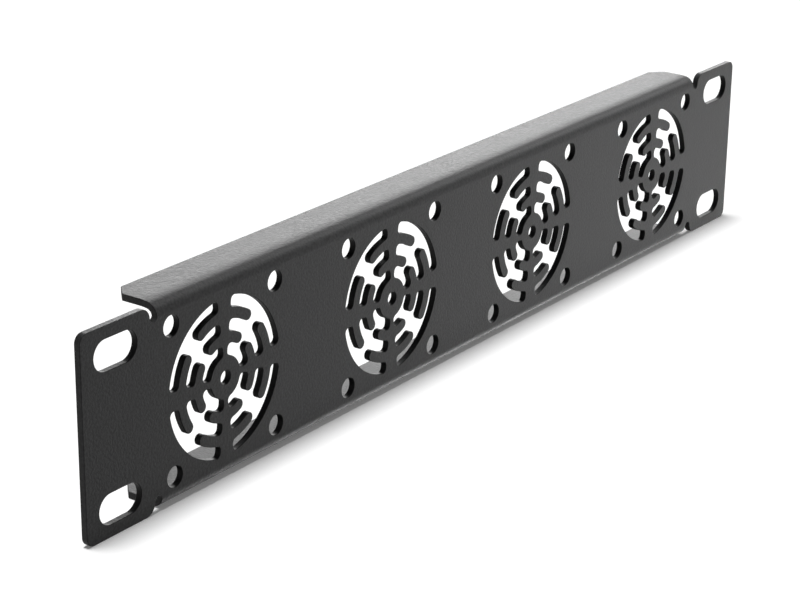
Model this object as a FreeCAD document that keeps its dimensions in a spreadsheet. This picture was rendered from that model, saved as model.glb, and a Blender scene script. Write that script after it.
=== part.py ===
import FreeCAD
import Part
import Sketcher
import math
import os

# Front panel that holds a row of small fans in a 10 inch rack, one unit high.
# It is one sheet of steel: pierced, then folded to a shallow channel with two flat ears.
# Millimetres. X runs along the panel, Y to the back and Z up.
# The origin is the middle of the four rack slots, on the front face.

# Driving sizes: name, value, what it is.
driving_sizes = [
    ("panel_width", 254.0, "ear end to ear end, 10 inches"),
    ("rack_unit", 44.45, "height of one rack unit"),
    ("unit_gap", 0.75, "what the panel leaves free of its unit"),
    ("sheet_thickness", 1.5, "steel sheet"),
    ("bend_inside_radius", 1.5, "inside radius of both folds"),
    ("flange_depth", 12.0, "front face to the free edge of a flange"),
    ("flange_corner", 3.0, "cut across the free corners of a flange"),
    ("ear_width", 19.5, "ear outside the relief notch"),
    ("ear_outer_radius", 2.0, "corners at the ends of the panel"),
    ("relief_width", 2.0, "notch between ear and fold"),
    ("relief_past_fold", 0.5, "notch depth beyond the fold line"),
    ("slot_inset", 9.65, "slot centre from the end of the panel"),
    ("slot_from_unit_edge", 6.35, "slot centre from the edge of the unit"),
    ("slot_length", 12.0, "rack slot, end to end"),
    ("slot_height", 6.5, "rack slot, across"),
    ("fan_count", 4, "fans in the row"),
    ("fan_size", 40.0, "square frame of one fan"),
    ("fan_hole_inset", 4.0, "fan screw hole from the edge of the fan"),
    ("fan_hole_diameter", 4.5, "fan screw hole"),
    ("hub_radius", 4.6, "solid middle of a grille"),
    ("hub_hole_diameter", 3.0, "hole in the middle of a grille"),
    ("grille_rim", 2.8, "outermost ring slot from the edge of the fan"),
    ("ring_count", 3, "ring slots round a hub"),
    ("ring_slot_width", 2.6, "ring slot, measured along a radius"),
    ("ring_corner_cut", 0.65, "cut across the corners of a ring slot at a spoke"),
    ("spoke_angle", 15.0, "angle that one spoke takes up"),
    ("gap_angle", 15.0, "angle of the gap between two fingers"),
]

# Sizes that follow from them: name, formula.
derived_sizes = [
    ("panel_height", "=rack_unit - unit_gap"),
    ("bend_outside_radius", "=bend_inside_radius + sheet_thickness"),
    ("channel_length", "=panel_width - 2 * (ear_width + relief_width)"),
    ("relief_middle", "=(channel_length + relief_width) / 2"),
    ("relief_centre_up", "=(panel_height + relief_width) / 2 - bend_outside_radius - relief_past_fold"),
    ("relief_top", "=panel_height / 2 + relief_width"),
    ("flare_radius", "=panel_height / 2 - relief_centre_up"),
    ("slot_across", "=panel_width / 2 - slot_inset"),
    ("slot_up", "=rack_unit / 2 - slot_from_unit_edge"),
    ("fan_pitch", "=(channel_length - fan_size) / max(fan_count - 1; 1)"),
    ("first_fan", "=-fan_pitch * (fan_count - 1) / 2"),
    ("fan_hole_offset", "=fan_size / 2 - fan_hole_inset"),
    ("grille_radius", "=fan_size / 2 - grille_rim"),
    ("ring_pitch", "=(grille_radius - ring_slot_width - hub_radius) / max(ring_count - 1; 1)"),
]

# Counts that the shape itself fixes, and how closely edges and volumes are compared.
corner_count = 4
opening_count = 4
same_place = 0.001
least_change = 0.01

document = FreeCAD.newDocument("fan_panel_document")
sheet = document.addObject("Spreadsheet::Sheet", "Sizes")


def fill_sheet():
    row = 1
    for name, value, meaning in driving_sizes:
        sheet.set("A%d" % row, name)
        sheet.set("B%d" % row, str(value))
        sheet.set("C%d" % row, meaning)
        sheet.setAlias("B%d" % row, name)
        row += 1
    for name, formula in derived_sizes:
        sheet.set("A%d" % row, name)
        sheet.set("B%d" % row, formula)
        sheet.setAlias("B%d" % row, name)
        row += 1
    document.recompute()


def size(name):
    return float(getattr(sheet, name))


def origin_plane(body, role):
    for feature in body.Origin.OriginFeatures:
        if feature.Role == role:
            return feature
    raise ValueError("no origin plane " + role)


def new_sketch(body, name, role):
    sketch = body.newObject("Sketcher::SketchObject", name)
    sketch.AttachmentSupport = [(origin_plane(body, role), "")]
    sketch.MapMode = "FlatFace"
    return sketch


def place_at_first_fan(sketch):
    sketch.setExpression("AttachmentOffset.Base.x", "Sizes.first_fan")


def drive(sketch, name, constraint, formula):
    # A dimension of a sketch that follows the sheet.
    number = sketch.addConstraint(constraint)
    sketch.renameConstraint(number, name)
    sketch.setExpression("Constraints." + name, formula)


def along(sketch, name, first, first_point, second, second_point, value, formula):
    # A horizontal distance. The origin is point 1 of geometry -1.
    constraint = Sketcher.Constraint("DistanceX", first, first_point, second, second_point, value)
    drive(sketch, name, constraint, formula)


def upward(sketch, name, first, first_point, second, second_point, value, formula):
    constraint = Sketcher.Constraint("DistanceY", first, first_point, second, second_point, value)
    drive(sketch, name, constraint, formula)


def hold(sketch, kind, *numbers):
    sketch.addConstraint(Sketcher.Constraint(kind, *numbers))


def polar(radius, angle):
    turn = math.radians(angle)
    return radius * math.cos(turn), radius * math.sin(turn)


def line(start, end):
    return ("line", start, end)


def arc(centre, radius, start, end):
    # Part of a circle from one angle to the other, in degrees. It runs clockwise if end is less.
    return ("arc", centre, radius, start, end)


def runs_backwards(edge):
    # Sketch arcs are stored counter-clockwise, so a clockwise one starts at its second point.
    return edge[0] == "arc" and edge[4] < edge[3]


def geometry(edge):
    if edge[0] == "line":
        return Part.LineSegment(FreeCAD.Vector(*edge[1], 0), FreeCAD.Vector(*edge[2], 0))
    centre, radius, start, end = edge[1:]
    circle = Part.Circle(FreeCAD.Vector(*centre, 0), FreeCAD.Vector(0, 0, 1), radius)
    return Part.ArcOfCircle(circle, math.radians(min(start, end)), math.radians(max(start, end)))


def draw_loop(sketch, edges, corners=()):
    # Adds a closed loop, in order. Neighbours are tangent, but for the edges listed in corners,
    # which meet the next one at an angle.
    numbers = [sketch.addGeometry(geometry(edge), False) for edge in edges]
    for place, number in enumerate(numbers):
        following = (place + 1) % len(numbers)
        last_point = 1 if runs_backwards(edges[place]) else 2
        first_point = 2 if runs_backwards(edges[following]) else 1
        kind = "Coincident" if place in corners else "Tangent"
        hold(sketch, kind, number, last_point, numbers[following], first_point)
    return numbers


def pad(body, name, sketch, length):
    feature = body.newObject("PartDesign::Pad", name)
    feature.Profile = sketch
    feature.setExpression("Length", length)
    return feature


def pocket(body, name, sketch):
    # From the front face right through to the back.
    feature = body.newObject("PartDesign::Pocket", name)
    feature.Profile = sketch
    feature.Type = "ThroughAll"
    return feature


def mirror(body, name, role):
    feature = body.newObject("PartDesign::Mirrored", name)
    feature.MirrorPlane = (origin_plane(body, role), [""])
    return feature


def fan_row(body, name, sketch):
    feature = body.newObject("PartDesign::LinearPattern", name)
    feature.Direction = (sketch, ["H_Axis"])
    feature.Mode = "Spacing"
    feature.setExpression("Offset", "Sizes.fan_pitch")
    feature.setExpression("Occurrences", "Sizes.fan_count")
    return feature


def repeat(body, name, original, steps):
    # Patterns and mirrors of one feature, taken one after the other.
    feature = body.newObject("PartDesign::MultiTransform", name)
    feature.Originals = [original]
    feature.Transformations = steps
    body.Tip = feature
    document.recompute()
    return feature


def at_four_corners(body, name, original):
    across = mirror(body, name + "_across", "YZ_Plane")
    over = mirror(body, name + "_over", "XY_Plane")
    return repeat(body, name, original, [across, over])


def straight_edges(shape, direction, places):
    # Names of the edges that run along one axis through the given places. A place holds the
    # two other coordinates, in X, Y, Z order.
    others = [axis for axis in range(3) if axis != direction]
    found = []
    for number, edge in enumerate(shape.Edges, start=1):
        ends = [vertex.Point for vertex in edge.Vertexes]
        if len(ends) != 2 or edge.Curve.TypeId != "Part::GeomLine":
            continue
        for place in places:
            misses = [abs(end[axis] - value) for end in ends for axis, value in zip(others, place)]
            if max(misses) < same_place:
                found.append("Edge%d" % number)
    return found


def dress(body, kind, name, edges, size_property, formula):
    # A fillet or chamfer on the four corner edges of what the body holds so far.
    if len(edges) != corner_count:
        raise ValueError("%s needs %d edges and found %d" % (name, corner_count, len(edges)))
    base = body.Tip
    feature = body.newObject("PartDesign::" + kind, name)
    feature.Base = (base, edges)
    feature.setExpression(size_property, formula)
    body.Tip = feature
    document.recompute()
    return feature


# The folded section, drawn in Y and Z: front web, two folds, two flanges.
def draw_channel_section(body):
    half = size("panel_height") / 2
    depth = size("flange_depth")
    thickness = size("sheet_thickness")
    outside = size("bend_outside_radius")
    inside = size("bend_inside_radius")
    fold = half - outside
    sketch = new_sketch(body, "channel_section", "YZ_Plane")
    numbers = draw_loop(sketch, [
        line((0, -fold), (0, fold)),
        arc((outside, fold), outside, 180, 90),
        line((outside, half), (depth, half)),
        line((depth, half), (depth, half - thickness)),
        line((depth, half - thickness), (outside, half - thickness)),
        arc((outside, fold), inside, 90, 180),
        line((thickness, fold), (thickness, -fold)),
        arc((outside, -fold), inside, 180, 270),
        line((outside, thickness - half), (depth, thickness - half)),
        line((depth, thickness - half), (depth, -half)),
        line((depth, -half), (outside, -half)),
        arc((outside, -fold), outside, 270, 180),
    ], corners=(2, 3, 8, 9))
    front, upper_outside, top, top_end, under_top, upper_inside = numbers[:6]
    back, lower_inside, over_bottom, bottom_end, bottom, lower_outside = numbers[6:]
    for number in (front, back, top_end, bottom_end):
        hold(sketch, "Vertical", number)
    for number in (top, under_top, over_bottom, bottom):
        hold(sketch, "Horizontal", number)
    hold(sketch, "Coincident", upper_inside, 3, upper_outside, 3)
    hold(sketch, "Coincident", lower_inside, 3, lower_outside, 3)
    hold(sketch, "PointOnObject", front, 1, -2)
    hold(sketch, "Symmetric", top_end, 1, bottom_end, 2, -1)
    hold(sketch, "Equal", upper_outside, lower_outside)
    drive(sketch, "outside_radius", Sketcher.Constraint("Radius", upper_outside, outside),
          "Sizes.bend_outside_radius")
    drive(sketch, "inside_radius", Sketcher.Constraint("Radius", upper_inside, inside),
          "Sizes.bend_inside_radius")
    upward(sketch, "height", bottom_end, 2, top_end, 1, 2 * half, "Sizes.panel_height")
    along(sketch, "depth", -1, 1, top_end, 1, depth, "Sizes.flange_depth")
    return sketch


# One flat ear, drawn in X and Z, from the middle of the relief notch to the panel's end.
def draw_ear(body):
    inner = size("relief_middle")
    outer = size("panel_width") / 2
    half = size("panel_height") / 2
    sketch = new_sketch(body, "ear_outline", "XZ_Plane")
    bottom, end, top, root = draw_loop(sketch, [
        line((inner, -half), (outer, -half)),
        line((outer, -half), (outer, half)),
        line((outer, half), (inner, half)),
        line((inner, half), (inner, -half)),
    ], corners=(0, 1, 2, 3))
    for number in (bottom, top):
        hold(sketch, "Horizontal", number)
    hold(sketch, "Vertical", root)
    hold(sketch, "Symmetric", end, 1, end, 2, -1)
    along(sketch, "inner", -1, 1, root, 1, inner, "Sizes.relief_middle")
    along(sketch, "outer", -1, 1, end, 1, outer, "Sizes.panel_width / 2")
    upward(sketch, "height", end, 1, end, 2, 2 * half, "Sizes.panel_height")
    return sketch


# The notch that frees a fold from the ear. From its round floor it flares out to the edge of
# the ear, and it runs out over the top.
def draw_relief(body):
    middle = size("relief_middle")
    up = size("relief_centre_up")
    top = size("relief_top")
    flare_radius = size("flare_radius")
    radius = size("relief_width") / 2
    flare_middle = middle + radius + flare_radius
    sketch = new_sketch(body, "relief_outline", "XZ_Plane")
    floor, flare, right, over, left = draw_loop(sketch, [
        arc((middle, up), radius, 180, 360),
        arc((flare_middle, up), flare_radius, 180, 90),
        line((flare_middle, up + flare_radius), (flare_middle, top)),
        line((flare_middle, top), (middle - radius, top)),
        line((middle - radius, top), (middle - radius, up)),
    ], corners=(1, 2, 3))
    for number in (left, right):
        hold(sketch, "Vertical", number)
    hold(sketch, "Horizontal", over)
    hold(sketch, "Horizontal", floor, 3, flare, 3)
    hold(sketch, "Vertical", flare, 3, right, 1)
    drive(sketch, "flare", Sketcher.Constraint("Radius", flare, flare_radius), "Sizes.flare_radius")
    drive(sketch, "radius", Sketcher.Constraint("Radius", floor, radius), "Sizes.relief_width / 2")
    along(sketch, "middle", -1, 1, floor, 3, middle, "Sizes.relief_middle")
    upward(sketch, "up", -1, 1, floor, 3, up, "Sizes.relief_centre_up")
    upward(sketch, "top", -1, 1, over, 1, top, "Sizes.relief_top")
    return sketch


# One rack slot with round ends.
def draw_rack_slot(body):
    across = size("slot_across")
    up = size("slot_up")
    radius = size("slot_height") / 2
    run = size("slot_length") / 2 - radius
    sketch = new_sketch(body, "rack_slot_outline", "XZ_Plane")
    below, right, above, left = draw_loop(sketch, [
        line((across - run, up - radius), (across + run, up - radius)),
        arc((across + run, up), radius, -90, 90),
        line((across + run, up + radius), (across - run, up + radius)),
        arc((across - run, up), radius, 90, 270),
    ])
    hold(sketch, "Horizontal", below)
    hold(sketch, "Equal", left, right)
    drive(sketch, "radius", Sketcher.Constraint("Radius", right, radius), "Sizes.slot_height / 2")
    along(sketch, "run", left, 3, right, 3, 2 * run, "Sizes.slot_length - Sizes.slot_height")
    along(sketch, "inner", -1, 1, left, 3, across - run,
          "Sizes.slot_across - (Sizes.slot_length - Sizes.slot_height) / 2")
    upward(sketch, "up", -1, 1, left, 3, up, "Sizes.slot_up")
    return sketch


# Five round holes for one fan: its four screws and the middle of its grille.
def draw_fan_holes(body):
    offset = size("fan_hole_offset")
    sketch = new_sketch(body, "fan_hole_outline", "XZ_Plane")
    place_at_first_fan(sketch)
    upright = FreeCAD.Vector(0, 0, 1)
    hub = Part.Circle(FreeCAD.Vector(0, 0, 0), upright, size("hub_hole_diameter") / 2)
    number = sketch.addGeometry(hub, False)
    hold(sketch, "Coincident", number, 3, -1, 1)
    drive(sketch, "hub_hole", Sketcher.Constraint("Diameter", number, 2 * hub.Radius),
          "Sizes.hub_hole_diameter")
    screws = []
    for side, level in ((1, 1), (-1, 1), (-1, -1), (1, -1)):
        centre = FreeCAD.Vector(side * offset, level * offset, 0)
        circle = Part.Circle(centre, upright, size("fan_hole_diameter") / 2)
        screws.append(sketch.addGeometry(circle, False))
    first, second, third, fourth = screws
    hold(sketch, "Symmetric", first, 3, second, 3, -2)
    hold(sketch, "Symmetric", second, 3, third, 3, -1)
    hold(sketch, "Symmetric", third, 3, fourth, 3, -2)
    for number in screws[1:]:
        hold(sketch, "Equal", first, number)
    drive(sketch, "screw_hole", Sketcher.Constraint("Diameter", first, 2 * circle.Radius),
          "Sizes.fan_hole_diameter")
    along(sketch, "across", -1, 1, first, 3, offset, "Sizes.fan_hole_offset")
    upward(sketch, "up", -1, 1, first, 3, offset, "Sizes.fan_hole_offset")
    return sketch


def mirrored(edge):
    # The same edge on the other side of the diagonal, run the other way.
    if edge[0] == "line":
        return line(edge[2][::-1], edge[1][::-1])
    centre, radius, start, end = edge[1:]
    return arc(centre[::-1], radius, 90 - end, 90 - start)


def angle_off_ray(away, radius):
    # Between a ray from the hub and a point that far away from it, at that radius.
    return math.degrees(math.asin(away / radius))


# Half of an opening of the grille, from its hub slot to its outermost slot, beside the spoke
# that points up. Each edge comes with its role and ring.
def grille_half(inner_radii, outer_radii):
    side = 90 - size("spoke_angle") / 2
    tip_side = 45 + size("gap_angle") / 2
    cut = size("ring_corner_cut")
    edges = []
    for ring, (inner, outer) in enumerate(zip(inner_radii, outer_radii)):
        inner_end = side - angle_off_ray(cut, inner)
        outer_end = side - angle_off_ray(cut, outer)
        near, far = polar(inner + cut, side), polar(outer - cut, side)
        if ring > 0:
            edges.append(("inner", ring, arc((0, 0), inner, reached, inner_end)))
        edges.append(("inner_cut", ring, line(polar(inner, inner_end), near)))
        edges.append(("side", ring, line(near, far)))
        edges.append(("outer_cut", ring, line(far, polar(outer, outer_end))))
        if ring + 1 == len(inner_radii):
            break
        # Round tip of the finger between this slot and the next.
        middle = (outer + inner_radii[ring + 1]) / 2
        tip_radius = inner_radii[ring + 1] - middle
        reached = tip_side + angle_off_ray(tip_radius, middle)
        edges.append(("outer", ring, arc((0, 0), outer, outer_end, reached)))
        tip = arc(polar(middle, reached), tip_radius, reached + 180, reached + 360)
        edges.append(("tip", ring, tip))
    return edges


# The opening between two spokes of a grille. Ring slots stop at the spokes, a gap along the
# diagonal links them, and the sheet left between them is pairs of round-tipped fingers. The
# slots' corners are small and many, so they are cut straight instead of round.
def draw_grille_opening(body):
    pitch = size("ring_pitch")
    inner_radii = [size("hub_radius") + ring * pitch for ring in range(int(size("ring_count")))]
    outer_radii = [radius + size("ring_slot_width") for radius in inner_radii]
    reach = size("grille_radius")
    spoke = size("spoke_angle") / 2
    gap = size("gap_angle") / 2
    cut = size("ring_corner_cut")
    first_angle = 90 - spoke - angle_off_ray(cut, inner_radii[0])
    last_angle = 90 - spoke - angle_off_ray(cut, outer_radii[-1])
    half = grille_half(inner_radii, outer_radii)
    hub_side = arc((0, 0), inner_radii[0], 90 - first_angle, first_angle)
    rim_side = arc((0, 0), outer_radii[-1], last_angle, 90 - last_angle)
    opening = [("whole", "inner", 0, hub_side)]
    opening += [("high", role, ring, edge) for role, ring, edge in half]
    opening += [("whole", "outer", len(outer_radii) - 1, rim_side)]
    opening += [("low", role, ring, mirrored(edge)) for role, ring, edge in reversed(half)]
    sketch = new_sketch(body, "grille_opening_outline", "XZ_Plane")
    place_at_first_fan(sketch)
    edges = [edge for part, role, ring, edge in opening]
    meets_line = [place for place, edge in enumerate(edges)
                  if "line" in (edge[0], edges[(place + 1) % len(edges)][0])]
    numbers = draw_loop(sketch, edges, corners=meets_line)

    # Radial lines that the slot ends lie on and the finger tips touch.
    rays = {}
    for name, angle, formula in (
        ("low_spoke", spoke, "Sizes.spoke_angle * 1 deg / 2"),
        ("high_spoke", 90 - spoke, "90 deg - Sizes.spoke_angle * 1 deg / 2"),
        ("low_gap", 45 - gap, "45 deg - Sizes.gap_angle * 1 deg / 2"),
        ("high_gap", 45 + gap, "45 deg + Sizes.gap_angle * 1 deg / 2"),
    ):
        ray = sketch.addGeometry(geometry(line((0, 0), polar(reach, angle))), True)
        hold(sketch, "Coincident", ray, 1, -1, 1)
        drive(sketch, name + "_length", Sketcher.Constraint("Distance", ray, reach),
              "Sizes.grille_radius")
        drive(sketch, name, Sketcher.Constraint("Angle", ray, math.radians(angle)), formula)
        rays[name] = ray

    for number, (part, role, ring, edge) in zip(numbers, opening):
        name = "%s_%s_%d" % (part, role, ring)
        inner_radius = "Sizes.hub_radius + %d * Sizes.ring_pitch" % ring
        outer_radius = inner_radius + " + Sizes.ring_slot_width"
        if role in ("inner", "outer"):
            hold(sketch, "Coincident", number, 3, -1, 1)
            drive(sketch, name, Sketcher.Constraint("Radius", number, edge[2]),
                  inner_radius if role == "inner" else outer_radius)
        elif role == "tip":
            hold(sketch, "Tangent", number, rays[part + "_gap"])
        elif role == "side":
            # The lower half is drawn the other way round, from the rim to the hub.
            near, far = (1, 2) if part == "high" else (2, 1)
            ends = (("near", near, inner_radii[ring] + cut, inner_radius + " + Sizes.ring_corner_cut"),
                    ("far", far, outer_radii[ring] - cut, outer_radius + " - Sizes.ring_corner_cut"))
            for end, point, radius, formula in ends:
                hold(sketch, "PointOnObject", number, point, rays[part + "_spoke"])
                drive(sketch, name + "_" + end,
                      Sketcher.Constraint("Distance", -1, 1, number, point, radius), formula)
        else:
            point = 1 if (role == "inner_cut") == (part == "high") else 2
            drive(sketch, name,
                  Sketcher.Constraint("Distance", number, point, rays[part + "_spoke"], cut),
                  "Sizes.ring_corner_cut")
    return sketch


def build_panel():
    body = document.addObject("PartDesign::Body", "fan_panel")
    body.Label = "fan_panel"
    half_width = size("panel_width") / 2
    half_height = size("panel_height") / 2
    half_channel = size("channel_length") / 2
    depth = size("flange_depth")

    channel = pad(body, "channel", draw_channel_section(body), "2 * Sizes.relief_middle")
    channel.SideType = "Symmetric"
    ear = pad(body, "ear", draw_ear(body), "Sizes.sheet_thickness")
    ear.Reversed = True
    other_ear = mirror(body, "other_ear", "YZ_Plane")
    other_ear.Originals = [ear]
    body.Tip = other_ear
    document.recompute()

    at_four_corners(body, "reliefs", pocket(body, "relief", draw_relief(body)))
    at_four_corners(body, "rack_slots", pocket(body, "rack_slot", draw_rack_slot(body)))

    ends = [(side * half_width, level * half_height) for side in (-1, 1) for level in (-1, 1)]
    dress(body, "Fillet", "ear_outer_corners", straight_edges(body.Shape, 1, ends),
          "Radius", "Sizes.ear_outer_radius")
    tips = [(-half_channel, depth), (half_channel, depth)]
    dress(body, "Chamfer", "flange_corners", straight_edges(body.Shape, 2, tips),
          "Size", "Sizes.flange_corner")

    fan_hole_sketch = draw_fan_holes(body)
    fan_holes = pocket(body, "fan_holes", fan_hole_sketch)
    repeat(body, "all_fan_holes", fan_holes, [fan_row(body, "fan_hole_row", fan_hole_sketch)])

    opening_sketch = draw_grille_opening(body)
    opening = pocket(body, "grille_opening", opening_sketch)
    round_hub = body.newObject("PartDesign::PolarPattern", "openings_round_hub")
    round_hub.Axis = (opening_sketch, ["N_Axis"])
    round_hub.Angle = 360
    round_hub.Occurrences = opening_count
    repeat(body, "grilles", opening, [round_hub, fan_row(body, "grille_row", opening_sketch)])
    return body


def check_document():
    for item in document.Objects:
        if "Invalid" in item.State or "Error" in item.State:
            raise RuntimeError("%s failed: %s" % (item.Label, item.State))
        if item.isDerivedFrom("Sketcher::SketchObject") and not item.FullyConstrained:
            raise RuntimeError("%s has a dimension missing" % item.Label)


def check_features(body):
    # Every feature has to change the volume of the one before it.
    before = None
    for item in body.Group:
        if not item.isDerivedFrom("PartDesign::Feature") or item.Shape.isNull():
            continue
        if before is not None and abs(item.Shape.Volume - before) < least_change:
            raise RuntimeError("%s changes nothing" % item.Label)
        before = item.Shape.Volume
        print("%-20s %10.2f mm3" % (item.Label, before))


fill_sheet()
panel = build_panel()
document.recompute()
check_document()
check_features(panel)
if panel.Shape.isNull() or not panel.Shape.isValid() or len(panel.Shape.Solids) != 1:
    raise RuntimeError("fan_panel is not one valid solid")
os.makedirs("parts", exist_ok=True)
panel.Shape.exportStep("parts/%s.step" % panel.Label)
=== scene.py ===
import bpy
import bmesh
import math
from mathutils import Matrix, Vector


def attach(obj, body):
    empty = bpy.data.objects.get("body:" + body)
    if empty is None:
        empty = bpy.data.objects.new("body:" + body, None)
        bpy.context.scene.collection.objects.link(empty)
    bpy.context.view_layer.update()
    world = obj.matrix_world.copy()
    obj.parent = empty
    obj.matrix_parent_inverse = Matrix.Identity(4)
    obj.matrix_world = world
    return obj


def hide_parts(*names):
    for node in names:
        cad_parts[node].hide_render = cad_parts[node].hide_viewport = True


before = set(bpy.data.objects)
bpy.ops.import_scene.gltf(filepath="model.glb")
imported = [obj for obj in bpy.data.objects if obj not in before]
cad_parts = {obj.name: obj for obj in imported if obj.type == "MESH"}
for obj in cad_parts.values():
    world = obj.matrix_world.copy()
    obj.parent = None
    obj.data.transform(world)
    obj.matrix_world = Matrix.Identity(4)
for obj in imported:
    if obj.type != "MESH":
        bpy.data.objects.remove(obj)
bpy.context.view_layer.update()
print("frame loaded")

# The panel in metres, with X along it, Y to the back and Z up, as in the frame. It is laid out
# flat first, in X and Y with its front up, and folded at the end.
panel = {
    "width": 0.254,
    "height": 0.0437,
    "thickness": 0.0015,
    "foldRadius": 0.003,        # outside of the sheet
    "easeAngle": 11.0,          # last degrees of the fold, which it turns more slowly
    "easeLength": 0.003,        # of sheet that those degrees take
    "foldSteps": 14,
    "flangeDepth": 0.012,
    "flangeCut": 0.003,         # across the free corners
    "cutRadius": 0.0004,        # where the cuts begin and end
    "earWidth": 0.0195,
    "earRadius": 0.002,
    "notchWidth": 0.002,
    "notchPastFold": 0.0005,
    "coatRadius": 0.00016,      # how round the coating leaves every edge
    "coatSteps": 3,
    "fans": 4,
    "fanPitch": 0.057,
    "screwSpacing": 0.032,
    "screwRadius": 0.00225,
    "hubHoleRadius": 0.0015,
    "holeSteps": 36,
    "hubRadius": 0.0046,
    "ringCount": 3,
    "ringPitch": 0.005,
    "slotWidth": 0.0026,
    "slotCorner": 0.001,
    "spokeAngle": 15.0,
    "gapAngle": 15.0,           # between the fingers, on each diagonal of a grille
    "rackSlotsAcross": 0.2347,
    "rackSlotsUp": 0.03175,
    "rackSlotLength": 0.012,
    "rackSlotHeight": 0.0065,
}
flatness = 0.00001              # how far a curve may stand off its chords
sameSpot = 1e-7                 # points of a loop nearer than this are one
weldGap = 1e-6                  # joins the rims and the faces
between = 0.5                   # parts the whole numbers of a mask or a count
nearlyAll = 0.9                 # of the corners of a face
openings = 4                    # of a grille, one in each quarter
quarterTurn = 360 / openings
diagonal = quarterTurn / 2

halfHeight = panel["height"] / 2
halfWidth = panel["width"] / 2
foldLine = halfHeight - panel["foldRadius"]             # where the fold begins on the face
easeAngle = math.radians(panel["easeAngle"])
bendAngle = math.pi / 2 - easeAngle
bendRadius = (panel["foldRadius"] - easeAngle * panel["easeLength"] / 3) / math.sin(bendAngle)
foldLength = bendRadius * bendAngle + panel["easeLength"]
flatReach = (foldLine + bendRadius * bendAngle + panel["flangeDepth"]
             - bendRadius * (1 - math.cos(bendAngle)))
foldRows = [foldLine + foldLength * row / panel["foldSteps"]
            for row in range(panel["foldSteps"] + 1)]
notchMiddle = halfWidth - panel["earWidth"] - panel["notchWidth"] / 2


# Loops: lists of points in the plane of the flat sheet

def polar(radius, angle, centre=(0.0, 0.0)):
    turn = math.radians(angle)
    return (centre[0] + radius * math.cos(turn), centre[1] + radius * math.sin(turn))


def arc(centre, radius, start, end, through=()):
    step = math.degrees(2 * math.acos(1 - flatness / radius))
    steps = max(2, math.ceil(abs(end - start) / step))
    angles = [start + (end - start) * index / steps for index in range(steps + 1)]
    angles = sorted(angles + list(through), reverse=end < start)
    return [polar(radius, angle, centre) for angle in angles]


def withoutDoubles(points):
    return [point for point, before in zip(points, points[-1:] + points[:-1])
            if math.dist(point, before) > sameSpot]


def offRay(away, radius):
    return math.degrees(math.asin(away / radius))


def openingLoop():
    # One opening between two spokes: the half beside its upper spoke, then the mirror of that
    # half over the diagonal. Slot ends have round corners, fingers have round tips.
    side = quarterTurn - panel["spokeAngle"] / 2
    tipSide = diagonal + panel["gapAngle"] / 2
    tipRadius = (panel["ringPitch"] - panel["slotWidth"]) / 2
    corner = panel["slotCorner"]
    half = []
    reached = diagonal
    for ring in range(panel["ringCount"]):
        inner = panel["hubRadius"] + ring * panel["ringPitch"]
        outer = inner + panel["slotWidth"]
        low, high = inner + corner, outer - corner
        lowAngle, highAngle = side - offRay(corner, low), side - offRay(corner, high)
        half += arc((0, 0), inner, reached, lowAngle)
        half += arc(polar(low, lowAngle), corner, lowAngle - 180, side - 270)
        half += arc(polar(high, highAngle), corner, side + 90, highAngle)
        if ring + 1 < panel["ringCount"]:
            middle = outer + tipRadius
            reached = tipSide + offRay(tipRadius, middle)
            half += arc((0, 0), outer, highAngle, reached)
            half += arc(polar(middle, reached), tipRadius, reached + 180, reached + 360)
        else:
            half += arc((0, 0), outer, highAngle, diagonal)
    loop = half + [(across, along) for along, across in half[::-1]]
    return withoutDoubles(loop[::-1])


def slotLoop():
    radius = panel["rackSlotHeight"] / 2
    reach = panel["rackSlotLength"] / 2 - radius
    return withoutDoubles(arc((reach, 0), radius, -90, 90) + arc((-reach, 0), radius, 90, 270))


def rounded(before, corner, after, radius):
    # an arc in place of a corner
    ahead = Vector(after) - Vector(corner)
    back = Vector(before) - Vector(corner)
    half = back.angle(ahead) / 2
    inward = (back.normalized() + ahead.normalized()).normalized()
    centre = Vector(corner) + inward * radius / math.sin(half)
    first = Vector(corner) + back.normalized() * radius / math.tan(half) - centre
    sweep = math.degrees(math.pi - 2 * half)
    turn = 1 if back.cross(ahead) < 0 else -1
    start = math.degrees(math.atan2(first.y, first.x))
    return arc(tuple(centre), radius, start, start + turn * sweep)


def outlineLoop():
    # A quarter from the ear's outer edge to the middle of the flange, then its mirrors.
    notchRadius = panel["notchWidth"] / 2
    notchUp = foldLine + panel["notchPastFold"]
    channelEnd = notchMiddle - notchRadius
    flareRadius = halfHeight - notchUp
    flare = (notchMiddle + notchRadius + flareRadius, notchUp)
    earCorner = (halfWidth - panel["earRadius"], halfHeight - panel["earRadius"])
    # The rim's inner edge crosses the fold line at a point of its own.
    crossing = offRay(panel["notchPastFold"], notchRadius + panel["coatRadius"])
    quarter = arc(earCorner, panel["earRadius"], 0, 90)
    quarter += arc(flare, flareRadius, 90, 180)
    quarter += arc((notchMiddle, notchUp), notchRadius, 0, -180, through=[crossing - 180])
    quarter += [(channelEnd, row) for row in foldRows if row > notchUp]
    cutFoot = (channelEnd, flatReach - panel["flangeCut"])
    cutHead = (channelEnd - panel["flangeCut"], flatReach)
    quarter += rounded((channelEnd, 0), cutFoot, cutHead, panel["cutRadius"])
    quarter += rounded(cutFoot, cutHead, (0, flatReach), panel["cutRadius"])
    top = quarter + [(-across, along) for across, along in quarter[::-1]]
    loop = top + [(-across, -along) for across, along in top]
    return withoutDoubles(loop[::-1])


def linked(thing):
    bpy.context.scene.collection.objects.link(thing)
    return thing


def loopObject(name, points):
    curve = bpy.data.curves.new(name, "CURVE")
    curve.dimensions = "3D"
    spline = curve.splines.new("POLY")
    spline.points.add(len(points) - 1)
    for place, (across, along) in zip(spline.points, points):
        place.co = (across, along, 0, 1)
    spline.use_cyclic_u = True
    return linked(bpy.data.objects.new(name, curve))


# Node trees

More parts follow.
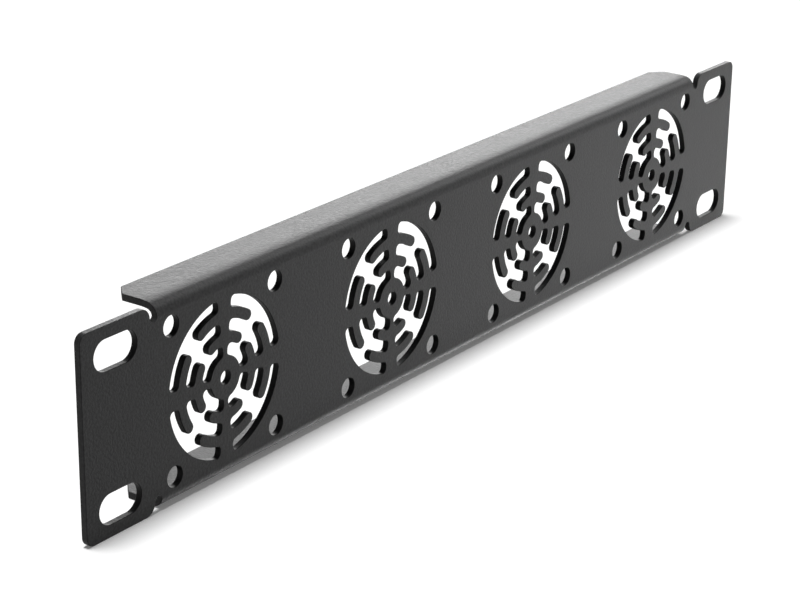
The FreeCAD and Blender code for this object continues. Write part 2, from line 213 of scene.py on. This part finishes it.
def newTree(name, kind, inputs, outputs):
    tree = bpy.data.node_groups.new(name, kind)
    for way, sockets in (("INPUT", inputs), ("OUTPUT", outputs)):
        for label, holds in sockets.items():
            tree.interface.new_socket(name=label, in_out=way, socket_type="NodeSocket" + holds)
    given = tree.nodes.new("NodeGroupInput").outputs
    result = tree.nodes.new("NodeGroupOutput").inputs
    return tree, given, result


def addNode(tree, kind, *values, **settings):
    # Values go to the node's sockets in order, None leaves a socket as it is.
    node = tree.nodes.new(kind)
    for name, value in settings.items():
        setattr(node, name, value)
    sockets = [socket for socket in node.inputs if socket.enabled]
    for socket, value in zip(sockets, values):
        if isinstance(value, Wire):
            tree.links.new(value.socket, socket)
        elif value is not None:
            socket.default_value = value
    return Wire(next(socket for socket in node.outputs if socket.enabled))


def calc(operation, *values):
    tree = next(value.socket.id_data for value in values if isinstance(value, Wire))
    return addNode(tree, "ShaderNodeMath", *values, operation=operation)


class Wire:
    # What comes out of a node. Sums and comparisons with it become Math nodes.
    def __init__(self, socket):
        self.socket = socket

    def __add__(self, other):
        return calc("ADD", self, other)

    def __sub__(self, other):
        return calc("SUBTRACT", self, other)

    def __rsub__(self, other):
        return calc("SUBTRACT", other, self)

    def __mul__(self, other):
        return calc("MULTIPLY", self, other)

    def __truediv__(self, other):
        return calc("DIVIDE", self, other)

    def __rtruediv__(self, other):
        return calc("DIVIDE", other, self)

    def __gt__(self, other):
        return calc("GREATER_THAN", self, other)

    def __lt__(self, other):
        return calc("LESS_THAN", self, other)


class TreeMaker:
    def __init__(self, name, inputs):
        self.tree, self.inputs, self.result = newTree(name, "GeometryNodeTree", inputs,
                                                      {"Geometry": "Geometry"})

    def given(self, label):
        return Wire(self.inputs[label])

    def add(self, kind, *values, **settings):
        return addNode(self.tree, kind, *values, **settings)

    def vector(self, *values):
        return self.add("ShaderNodeCombineXYZ", *values)

    def split(self, vector):
        parts = self.add("ShaderNodeSeparateXYZ", vector).socket.node.outputs
        return [Wire(part) for part in parts]

    def scaled(self, vector, factor):
        return self.add("ShaderNodeVectorMath", vector, factor, operation="SCALE")

    def join(self, *parts):
        node = self.tree.nodes.new("GeometryNodeJoinGeometry")
        for part in parts[::-1]:
            self.tree.links.new(part.socket, node.inputs[0])
        return Wire(node.outputs[0])

    def shapeOf(self, label):
        node = self.tree.nodes.new("GeometryNodeObjectInfo")
        self.tree.links.new(self.inputs[label], node.inputs["Object"])
        return Wire(node.outputs["Geometry"])

    def stored(self, geometry, name, value, kind="FLOAT", domain="POINT"):
        return self.add("GeometryNodeStoreNamedAttribute", geometry, None, name, value,
                        data_type=kind, domain=domain)

    def named(self, name, kind="FLOAT"):
        return self.add("GeometryNodeInputNamedAttribute", name, data_type=kind)

    def moved(self, geometry, position=None, offset=None):
        return self.add("GeometryNodeSetPosition", geometry, None, position, offset)

    def flipped(self, geometry):
        return self.add("GeometryNodeFlipFaces", geometry)

    def finish(self, geometry):
        self.tree.links.new(geometry.socket, self.result[0])
        return self.tree


def piercingTree():
    # Every hole in the flat sheet, as closed curves.
    maker = TreeMaker("Piercing", {
        "Opening": "Object", "Openings": "Int", "Fans": "Int", "Fan Pitch": "Float",
        "Screw Spacing": "Float", "Screw Radius": "Float", "Hub Hole Radius": "Float",
        "Hole Steps": "Int", "Rack Slot": "Object", "Slots Across": "Float", "Slots Up": "Float"})
    given = maker.given

    def circle(radius):
        return maker.add("GeometryNodeCurvePrimitiveCircle", given("Hole Steps"), given(radius))

    def fourCorners(across, up):
        return maker.add("GeometryNodeMeshGrid", given(across), given(up), 2, 2)

    def instances(points, shape, rotation=None):
        return maker.add("GeometryNodeInstanceOnPoints", points, None, shape, None, None, rotation)

    turn = maker.add("GeometryNodeInputIndex") * (math.tau / given("Openings"))
    hub = maker.add("GeometryNodeMeshLine", given("Openings"), None, (0, 0, 0))
    spread = instances(hub, maker.shapeOf("Opening"), maker.vector(0, 0, turn))
    screws = instances(fourCorners("Screw Spacing", "Screw Spacing"), circle("Screw Radius"))
    oneFan = maker.join(spread, screws, circle("Hub Hole Radius"))
    first = (given("Fans") - 1) * given("Fan Pitch") * -0.5
    row = maker.add("GeometryNodeMeshLine", given("Fans"), maker.vector(first, 0, 0),
                    maker.vector(given("Fan Pitch"), 0, 0))
    rack = instances(fourCorners("Slots Across", "Slots Up"), maker.shapeOf("Rack Slot"))
    return maker.finish(maker.add("GeometryNodeRealizeInstances",
                                  maker.join(instances(row, oneFan), rack)))


def railed(maker, curves):
    # "side" points across each curve, in the plane of the sheet, from the edge into the sheet.
    upright = maker.add("GeometryNodeSetCurveNormal", curves, mode="Z_UP")
    return maker.stored(upright, "side", maker.add("GeometryNodeInputNormal"), "FLOAT_VECTOR")


def rimProfile(maker):
    # From the front face over the edge to the back face. "roll" is the turn round the edge.
    steps, coatRadius = maker.given("Coat Steps"), maker.given("Coat Radius")
    line = maker.add("GeometryNodeCurvePrimitiveLine", (0, 0, 0), (1, 0, 0))
    profile = maker.add("GeometryNodeResampleCurve", line, None, (steps + 1) * 2)
    number = maker.add("GeometryNodeInputIndex")
    onBack = number > steps + 1 - between
    profile = maker.stored(profile, "roll", (number - onBack) * (math.pi / 2) / steps)
    roll = maker.named("roll")
    inward = coatRadius * (1 - calc("SINE", roll))
    down = coatRadius * (1 - calc("COSINE", roll))
    wall = maker.given("Thickness") - coatRadius * 2
    return maker.moved(profile, maker.vector(inward, down + wall * onBack, 0))


def rims(maker, holes, outline):
    roll, side = maker.named("roll"), maker.named("side", "FLOAT_VECTOR")
    swept = maker.add("GeometryNodeCurveToMesh", maker.join(holes, outline), rimProfile(maker))
    leaning = maker.add("ShaderNodeVectorMath", maker.vector(0, 0, calc("COSINE", roll)),
                        maker.scaled(side, calc("SINE", roll)), operation="SUBTRACT")
    swept = maker.stored(maker.flipped(swept), "shade", leaning, "FLOAT_VECTOR")
    # Walls of the holes, without the first step of the round at the front.
    firstStep = (math.pi / 2) / maker.given("Coat Steps")
    onWall = maker.named("pierced") * (roll > firstStep / 2)
    return maker.stored(swept, "wall", onWall, "FLOAT", "FACE")


def bands(maker, outline):
    # The outline once for each band of a face: the web with the ears, a strip for each step of
    # a fold, and the flanges. Each band keeps the points of its own copy.
    given = maker.given
    steps, band = given("Fold Steps"), maker.named("band", "INT")
    across, along = maker.split(maker.add("GeometryNodeInputPosition"))[:2]
    copies = maker.add("GeometryNodeDuplicateElements", outline, None, steps * 2 + 3,
                       domain="SPLINE")
    copyNumber = Wire(copies.socket.node.outputs["Duplicate Index"])
    copies = maker.stored(copies, "band", copyNumber - (steps + 1), "INT", "CURVE")
    order = calc("ABSOLUTE", band)
    bendLength = given("Bend Radius") * given("Bend Angle")
    rowPitch = (bendLength + given("Ease Length")) / steps
    rowStart = given("Fold Line") + (order - 1) * rowPitch
    rowEnd = rowStart + rowPitch + (order > steps)
    height = along * calc("SIGN", band)
    channel = calc("ABSOLUTE", across) < given("Channel Half")
    inStrip = (height > rowStart - flatness) * (height < rowEnd + flatness) * channel
    inWeb = calc("ABSOLUTE", along) < given("Fold Line") + flatness
    isStrip = order > between
    kept = isStrip * inStrip + (1 - isStrip) * calc("MAXIMUM", inWeb, 1 - channel)
    return maker.add("GeometryNodeDeleteGeometry", copies, kept < between, domain="POINT")


def faces(maker, holes, outline):
    inset = maker.scaled(maker.named("side", "FLOAT_VECTOR"), maker.given("Coat Radius"))
    copies = bands(maker, maker.moved(outline, None, inset))
    holes = maker.moved(holes, None, inset)
    front = maker.add("GeometryNodeFillCurve", maker.join(copies, holes),
                      maker.named("band", "INT"))
    back = maker.add("GeometryNodeTransform", front,
                     maker.vector(0, 0, maker.given("Thickness") * -1))
    return (maker.stored(front, "shade", (0, 0, 1), "FLOAT_VECTOR"),
            maker.stored(maker.flipped(back), "shade", (0, 0, -1), "FLOAT_VECTOR"))


def folded(maker, flat):
    # A point past the fold line turns round the bend, eases into the flange, and stands off by
    # its depth in the sheet. The normals turn with it.
    radius, bendEnd = maker.given("Bend Radius"), maker.given("Bend Angle")
    easeLength = maker.given("Ease Length")
    across, along, depth = maker.split(maker.add("GeometryNodeInputPosition"))
    offMiddle, sign = calc("ABSOLUTE", along), calc("SIGN", along)
    channel = calc("ABSOLUTE", across) < maker.given("Channel Half")
    past = calc("MAXIMUM", offMiddle - maker.given("Fold Line"), 0) * channel
    bent = calc("MINIMUM", past / radius, bendEnd)
    beyond = calc("MAXIMUM", past - radius * bendEnd, 0)
    toGo = 1 - calc("MINIMUM", beyond / easeLength, 1)
    ease = math.pi / 2 - bendEnd
    angle = bent + ease * (1 - calc("POWER", toGo, 2))
    toBack = radius * (1 - calc("COSINE", bent)) + beyond - depth * calc("COSINE", angle)
    easeRise = ease * easeLength / 3 * (1 - calc("POWER", toGo, 3))
    bendRise = radius * calc("SINE", bent)
    up = offMiddle - past + bendRise + easeRise + depth * calc("SINE", angle)

    bend = angle * sign
    shadeAcross, shadeAlong, shadeOut = maker.split(maker.named("shade", "FLOAT_VECTOR"))
    shadeBack = shadeAlong * calc("SINE", bend) - shadeOut * calc("COSINE", bend)
    shadeUp = shadeAlong * calc("COSINE", bend) + shadeOut * calc("SINE", bend)
    turned = maker.stored(flat, "shade", maker.vector(shadeAcross, shadeBack, shadeUp),
                          "FLOAT_VECTOR")
    return maker.moved(turned, maker.vector(across, toBack, up * sign))


def sheetTree():
    # Rounds the rim of every loop, fills both faces between the rims and folds the result.
    maker = TreeMaker("Folded Sheet", {
        "Piercing": "Geometry", "Outline": "Object", "Thickness": "Float", "Coat Radius": "Float",
        "Coat Steps": "Int", "Fold Line": "Float", "Bend Radius": "Float", "Bend Angle": "Float",
        "Ease Length": "Float", "Fold Steps": "Int", "Channel Half": "Float",
        "Finish": "Material", "Painted Shade Finish": "Material"})
    holes = maker.stored(railed(maker, maker.given("Piercing")), "pierced", 1)
    outline = railed(maker, maker.shapeOf("Outline"))
    parts = maker.join(rims(maker, holes, outline), *faces(maker, holes, outline))
    flat = maker.add("GeometryNodeMergeByDistance", parts, None, weldGap)
    solid = maker.add("GeometryNodeRealizeInstances", folded(maker, flat))
    smooth = maker.add("GeometryNodeSetShadeSmooth", solid, None, True)
    finished = maker.add("GeometryNodeSetMaterial", smooth, None, maker.given("Finish"))
    # the walls of the holes get the darker finish, which paints the shade in them
    wholeWall = maker.named("wall") > nearlyAll
    return maker.finish(maker.add("GeometryNodeSetMaterial", finished, wholeWall,
                                  maker.given("Painted Shade Finish")))


def addTree(piece, tree, values):
    modifier = piece.modifiers.new(tree.name, "NODES")
    modifier.node_group = tree
    identifiers = {item.name: item.identifier for item in tree.interface.items_tree
                   if item.in_out == "INPUT"}
    for name, value in values.items():
        modifier[identifiers[name]] = value


def makePanel(finish, paintedShadeFinish):
    outline = loopObject("Outline", outlineLoop())
    opening = loopObject("Opening", openingLoop())
    rackSlot = loopObject("RackSlot", slotLoop())
    piece = linked(bpy.data.objects.new("FoldedPanel", bpy.data.meshes.new("FoldedPanel")))
    addTree(piece, piercingTree(), {
        "Opening": opening, "Openings": openings, "Fans": panel["fans"],
        "Fan Pitch": panel["fanPitch"], "Screw Spacing": panel["screwSpacing"],
        "Screw Radius": panel["screwRadius"], "Hub Hole Radius": panel["hubHoleRadius"],
        "Hole Steps": panel["holeSteps"], "Rack Slot": rackSlot,
        "Slots Across": panel["rackSlotsAcross"], "Slots Up": panel["rackSlotsUp"]})
    addTree(piece, sheetTree(), {
        "Outline": outline, "Thickness": panel["thickness"], "Coat Radius": panel["coatRadius"],
        "Coat Steps": panel["coatSteps"], "Fold Line": foldLine, "Bend Radius": bendRadius,
        "Bend Angle": bendAngle, "Ease Length": panel["easeLength"],
        "Fold Steps": panel["foldSteps"], "Channel Half": notchMiddle, "Finish": finish,
        "Painted Shade Finish": paintedShadeFinish})
    evaluated = piece.evaluated_get(bpy.context.evaluated_depsgraph_get())
    mesh = bpy.data.meshes.new_from_object(evaluated)
    piece.modifiers.clear()
    piece.data = mesh
    shade = [tuple(item.vector) for item in mesh.attributes["shade"].data]
    for name in ("shade", "roll", "side", "band", "pierced", "wall"):
        if name in mesh.attributes:
            mesh.attributes.remove(mesh.attributes[name])
    mesh.normals_split_custom_set_from_vertices(shade)
    for helper in (outline, opening, rackSlot):
        bpy.data.objects.remove(helper)
    return piece


def report(piece):
    form = bmesh.new()
    form.from_mesh(piece.data)
    loose = sum(1 for edge in form.edges if len(edge.link_faces) != 2)
    print(piece.name, "faces", len(form.faces), "open edges", loose,
          "volume mm3", round(form.calc_volume(signed=True) * 1e9, 1))
    form.free()


# Coat: sprayed and baked powder. The walls of the holes get a nearly black, duller coat, which is
# painted shade

coat = {
    "grainSize": 0.0006,
    "peelSize": 0.0035,         # soft waves of the coat
    "peelShare": 0.3,
    "bumpDepth": 0.00009,
    "mottle": 0.35,             # of the colour, to either side
    "mottleBand": (0.3, 0.7),   # of the noise
    "roughness": 0.5,
    "roughSpread": 0.045,       # of the roughness, to either side
    "roughBand": (0.2, 0.8),    # of the noise
    "color": (0.011, 0.011, 0.0113),
    "gloss": 0.12,
    # painted shade: the walls of the holes are darker and less glossy than the face, for the shade
    # that falls in them
    "holeShadeColor": (0.003, 0.003, 0.003),
    "holeShadeGloss": 0.06,
}


def powderGrain():
    # Height and unevenness, for every coated surface.
    tree, given, result = newTree(
        "PowderGrain", "ShaderNodeTree",
        {"Grain Scale": "Float", "Peel Scale": "Float", "Peel Share": "Float"},
        {"Height": "Float", "Mottle": "Float"})
    place = tree.nodes.new("ShaderNodeTexCoord").outputs["Object"]

    def noise(label, detail, roughness):
        node = tree.nodes.new("ShaderNodeTexNoise")
        node.inputs["Detail"].default_value = detail
        node.inputs["Roughness"].default_value = roughness
        tree.links.new(place, node.inputs["Vector"])
        tree.links.new(given[label], node.inputs["Scale"])
        return node.outputs["Fac"]

    blend = tree.nodes.new("ShaderNodeMix")
    tree.links.new(given["Peel Share"], blend.inputs["Factor"])
    grainHeight = noise("Grain Scale", detail=2, roughness=0.6)
    peelHeight = noise("Peel Scale", detail=1, roughness=0.5)
    tree.links.new(grainHeight, blend.inputs["A"])
    tree.links.new(peelHeight, blend.inputs["B"])
    tree.links.new(blend.outputs["Result"], result["Height"])
    tree.links.new(noise("Grain Scale", detail=0, roughness=0.5), result["Mottle"])
    return tree


def newMaterial(name):
    material = bpy.data.materials.new(name)
    material.use_nodes = True
    nodes, links = material.node_tree.nodes, material.node_tree.links
    return material, nodes, links, nodes["Principled BSDF"].inputs


def coatMaterial(name, grain, color, gloss):
    material, nodes, links, shader = newMaterial(name)
    shader["Specular IOR Level"].default_value = gloss
    group = nodes.new("ShaderNodeGroup")
    group.node_tree = grain
    group.inputs["Grain Scale"].default_value = 1 / coat["grainSize"]
    group.inputs["Peel Scale"].default_value = 1 / coat["peelSize"]
    group.inputs["Peel Share"].default_value = coat["peelShare"]
    tint = nodes.new("ShaderNodeValToRGB")
    shades = (1 - coat["mottle"], 1 + coat["mottle"])
    for stop, position, factor in zip(tint.color_ramp.elements, coat["mottleBand"], shades):
        stop.position = position
        stop.color = [channel * factor for channel in color] + [1]
    links.new(group.outputs["Mottle"], tint.inputs["Fac"])
    links.new(tint.outputs["Color"], shader["Base Color"])
    rough = nodes.new("ShaderNodeMapRange")
    rough.inputs["From Min"].default_value = coat["roughBand"][0]
    rough.inputs["From Max"].default_value = coat["roughBand"][1]
    rough.inputs["To Min"].default_value = coat["roughness"] - coat["roughSpread"]
    rough.inputs["To Max"].default_value = coat["roughness"] + coat["roughSpread"]
    links.new(group.outputs["Mottle"], rough.inputs["Value"])
    links.new(rough.outputs["Result"], shader["Roughness"])
    bump = nodes.new("ShaderNodeBump")
    bump.inputs["Distance"].default_value = coat["bumpDepth"]
    links.new(group.outputs["Height"], bump.inputs["Height"])
    links.new(bump.outputs["Normal"], shader["Normal"])
    return material


powder = powderGrain()
faceCoat = coatMaterial("BlackPowderCoat", powder, coat["color"], coat["gloss"])
holeShadeCoat = coatMaterial("PiercedEdgePaintedShade", powder, coat["holeShadeColor"], coat["holeShadeGloss"])
print("coat made")
foldedPanel = makePanel(faceCoat, holeShadeCoat)
report(foldedPanel)
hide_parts("fan_panel")
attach(foldedPanel, "root")
print("panel made")


# Floor, lamps and world

studio = {
    "floorReach": 4,            # to each side
    "floorTone": 0.9,
    "floorRoughness": 0.9,
    "floorGloss": 0.1,
    "floorLift": 0.13,          # for the camera and reflections alone
    "softStrength": 0.09,       # of the world, on matt surfaces
    "horizonTone": 1.0,         # what the camera and reflections see of it, low down
    "zenithTone": 0.35,
    "horizonUpTo": 0.2,         # heights in the sky, 1 straight up
    "zenithFrom": 0.5,
    "keyFrom": (-0.06, 0.085, 1.2),
    "keyAngle": 17,             # degrees across, for a soft shadow
    "keyStrength": 3.35,
    "lamps": {                  # place, width, height, power
        "RearLight": ((1.3, 1.0, 0.5), 0.9, 0.9, 24.0),
        "RightLight": ((0.95, -0.2, 0.72), 0.6, 0.6, 10.0),
        "SideLight": ((0.8, -0.3, 0.03), 0.4, 0.06, 0.9),
        # these two stand in for a brighter floor to the right
        "FloorGlow": ((0.88, -0.32, -0.34), 0.4, 0.4, 1.9),
        "FoldGlow": ((0.72, 0.06, -0.62), 0.3, 0.3, 2.2),
    },
}


def seenRays(nodes, links):
    # 1 for what the camera sees, straight or in a reflection, and 0 for soft light
    path = nodes.new("ShaderNodeLightPath")
    seen = path.outputs["Is Camera Ray"]
    for ray in ("Is Glossy Ray", "Is Transmission Ray"):
        either = nodes.new("ShaderNodeMath")
        either.operation = "MAXIMUM"
        links.new(seen, either.inputs[0])
        links.new(path.outputs[ray], either.inputs[1])
        seen = either.outputs[0]
    return seen


def makeFloor():
    reach, low = studio["floorReach"], -halfHeight
    corners = [(-reach, -reach, low), (reach, -reach, low),
               (reach, reach, low), (-reach, reach, low)]
    mesh = bpy.data.meshes.new("Floor")
    mesh.from_pydata(corners, [], [(0, 1, 2, 3)])
    floor = linked(bpy.data.objects.new("Floor", mesh))
    material, nodes, links, shader = newMaterial("PaleFloor")
    shader["Base Color"].default_value = [studio["floorTone"]] * 3 + [1]
    shader["Roughness"].default_value = studio["floorRoughness"]
    shader["Specular IOR Level"].default_value = studio["floorGloss"]
    # The floor shows as white to the camera and in reflections, and keeps its shadow.
    lift = nodes.new("ShaderNodeMath")
    lift.operation = "MULTIPLY"
    lift.inputs[1].default_value = studio["floorLift"]
    links.new(seenRays(nodes, links), lift.inputs[0])
    shader["Emission Color"].default_value = (1, 1, 1, 1)
    links.new(lift.outputs[0], shader["Emission Strength"])
    mesh.materials.append(material)


def aimed(name, light, place):
    # turned from its place to the middle of the panel
    lamp = linked(bpy.data.objects.new(name, light))
    lamp.rotation_euler = (-Vector(place)).to_track_quat("-Z", "Y").to_euler()
    return lamp


def makeLamp(name, lit, place, width, height, power):
    light = bpy.data.lights.new(name, "AREA")
    light.shape = "RECTANGLE"
    light.size, light.size_y = width, height
    light.energy = power
    lamp = aimed(name, light, place)
    lamp.location = place
    lamp.visible_camera = False
    lamp.light_linking.receiver_collection = lit
    if place[2] < -halfHeight:
        # under the floor: only the panel shades it, and it is sampled without the rays that
        # leave a glossy surface, which would stop at the floor
        lamp.light_linking.blocker_collection = lit
        light.cycles.use_multiple_importance_sampling = False


def makeLamps():
    sun = bpy.data.lights.new("KeyLight", "SUN")
    sun.angle = math.radians(studio["keyAngle"])
    sun.energy = studio["keyStrength"]
    aimed("KeyLight", sun, studio["keyFrom"])
    # The other lamps light the panel alone and leave the floor to the key light.
    lit = bpy.data.collections.new("LitByLamps")
    lit.objects.link(foldedPanel)
    for name, settings in studio["lamps"].items():
        makeLamp(name, lit, *settings)


def makeWorld():
    world = bpy.data.worlds.new("Studio")
    world.use_nodes = True
    nodes, links = world.node_tree.nodes, world.node_tree.links
    background = nodes["Background"].inputs
    background["Color"].default_value = (1, 1, 1, 1)
    rise = nodes.new("ShaderNodeSeparateXYZ")
    links.new(nodes.new("ShaderNodeTexCoord").outputs["Generated"], rise.inputs[0])
    sky = nodes.new("ShaderNodeMapRange")
    sky.inputs["From Min"].default_value = studio["horizonUpTo"]
    sky.inputs["From Max"].default_value = studio["zenithFrom"]
    sky.inputs["To Min"].default_value = studio["horizonTone"]
    sky.inputs["To Max"].default_value = studio["zenithTone"]
    links.new(rise.outputs["Z"], sky.inputs["Value"])
    strength = nodes.new("ShaderNodeMapRange")
    strength.inputs["To Min"].default_value = studio["softStrength"]
    links.new(sky.outputs["Result"], strength.inputs["To Max"])
    links.new(seenRays(nodes, links), strength.inputs["Value"])
    links.new(strength.outputs["Result"], background["Strength"])
    bpy.context.scene.world = world


makeFloor()
makeLamps()
makeWorld()
print("floor, lamps and world made")


# Camera

view = {
    "azimuth": -54.5,           # degrees, as are the next two
    "elevation": 20.7,
    "roll": 0.72,
    "offset": (-0.01495, -0.00902, 0.5254),     # of the camera, to its right, up and back
    "lens": 103.05,
    "clipStart": 0.01,
}


def makeCamera():
    azimuth, elevation = math.radians(view["azimuth"]), math.radians(view["elevation"])
    back = Vector((math.sin(azimuth) * math.cos(elevation),
                   -math.cos(azimuth) * math.cos(elevation), math.sin(elevation)))
    right = Vector((0, 0, 1)).cross(back).normalized()
    turn = Matrix((right, back.cross(right), back)).transposed()
    turn = turn @ Matrix.Rotation(math.radians(view["roll"]), 3, "Z")
    camera = linked(bpy.data.objects.new("Camera", bpy.data.cameras.new("Camera")))
    camera.matrix_world = Matrix.Translation(turn @ Vector(view["offset"])) @ turn.to_4x4()
    camera.data.lens = view["lens"]
    camera.data.clip_start = view["clipStart"]
    bpy.context.scene.camera = camera


makeCamera()
bpy.context.scene.view_settings.view_transform = "Standard"
print("camera made")
